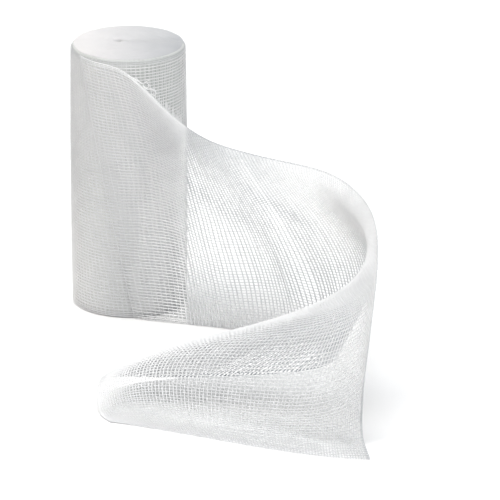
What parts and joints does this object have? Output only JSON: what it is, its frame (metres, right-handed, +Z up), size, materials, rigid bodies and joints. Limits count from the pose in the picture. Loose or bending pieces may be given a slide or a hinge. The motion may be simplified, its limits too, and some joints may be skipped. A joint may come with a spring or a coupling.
{
  "type": "gauze bandage roll",
  "caption": "Upright roll of white open-weave gauze bandage with its loose end drawn off, turned over in a soft hump and laid flat beside it.",
  "frame": {"origin": "centre of the roll's flat base, on the surface it stands on", "axes": "+Z up along the roll's axis; +X towards the side the loose strip is drawn off to; -Y towards the side where the strip ends"},
  "size_m": [0.1116, 0.1854, 0.1],
  "materials": {
    "wound_gauze": "soft matt white gauze, many turns deep",
    "loose_gauze": "sheer matt white open-weave gauze, one layer"
  },
  "bodies": {
    "root": {"roll": "wound_gauze", "tail": "loose_gauze"}
  },
  "joints": []
}
